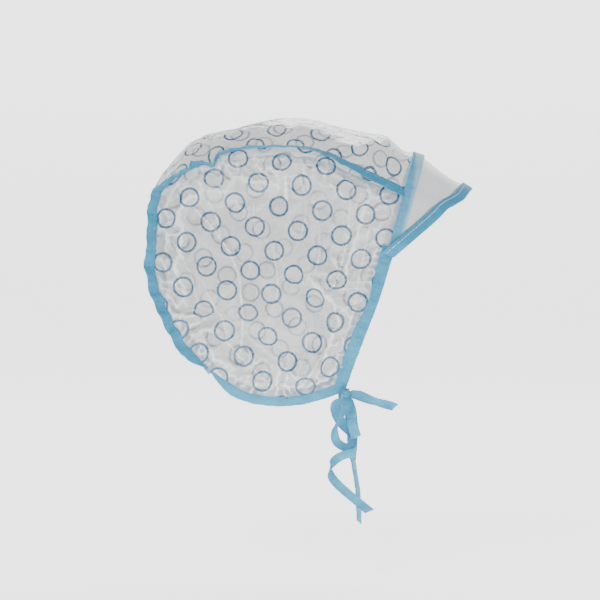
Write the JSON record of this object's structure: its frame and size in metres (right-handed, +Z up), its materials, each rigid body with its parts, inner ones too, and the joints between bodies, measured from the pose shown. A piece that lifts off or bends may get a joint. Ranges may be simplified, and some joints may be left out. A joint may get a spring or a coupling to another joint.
{
  "type": "highlighting cap",
  "caption": "Clear film bonnet for strand highlighting, with ring-marked panels, taped seams, a plain visor and ribbon ties in a bow.",
  "frame": {"origin": "middle of the head cavity, on the middle plane, about level with the top of the ears", "axes": "+X forward over the visor, +Y to the wearer's left, +Z up"},
  "size_m": [0.276, 0.16, 0.3381],
  "materials": {
    "printed_film": "clear, slightly milky film, printed with blue rings",
    "visor_film": "clear, slightly frosted film without print",
    "tape": "folded sky-blue nonwoven tape",
    "tie_ribbon": "sky-blue nonwoven ribbon with a soft sheen",
    "thread": "pale blue sewing thread"
  },
  "bodies": {
    "cap": {"right_side_panel": "printed_film", "left_side_panel": "printed_film", "crown_band": "printed_film", "right_seam_binding": "tape", "left_seam_binding": "tape", "right_face_binding": "tape", "left_face_binding": "tape", "neck_hem_binding": "tape", "visor_seam_tape": "tape", "right_seam_thread": "thread", "left_seam_thread": "thread", "right_face_thread": "thread", "left_face_thread": "thread", "neck_hem_thread": "thread", "visor_seam_thread": "thread", "right_corner_tack": "thread", "left_corner_tack": "thread", "left_tie_chin_run": "tie_ribbon"},
    "visor": {"visor_panel": "visor_film", "visor_edge_binding": "tape", "visor_edge_thread": "thread"},
    "bow": {"bow_knot": "tie_ribbon", "forward_loop": "tie_ribbon", "hanging_loop": "tie_ribbon", "curled_end": "tie_ribbon", "straight_end": "tie_ribbon"}
  },
  "joints": [
    {"name": "visor_flip", "type": "hinge", "parent": "cap", "child": "visor", "pos_m": [0.1221, 0, 0.1144], "axis": [0, -1, 0], "range_deg": [0, 45]},
    {"name": "bow_swing", "type": "hinge", "parent": "cap", "child": "bow", "pos_m": [0.0555, -0.065, -0.087], "axis": [0, -1, 0], "range_deg": [-25, 25]}
  ]
}
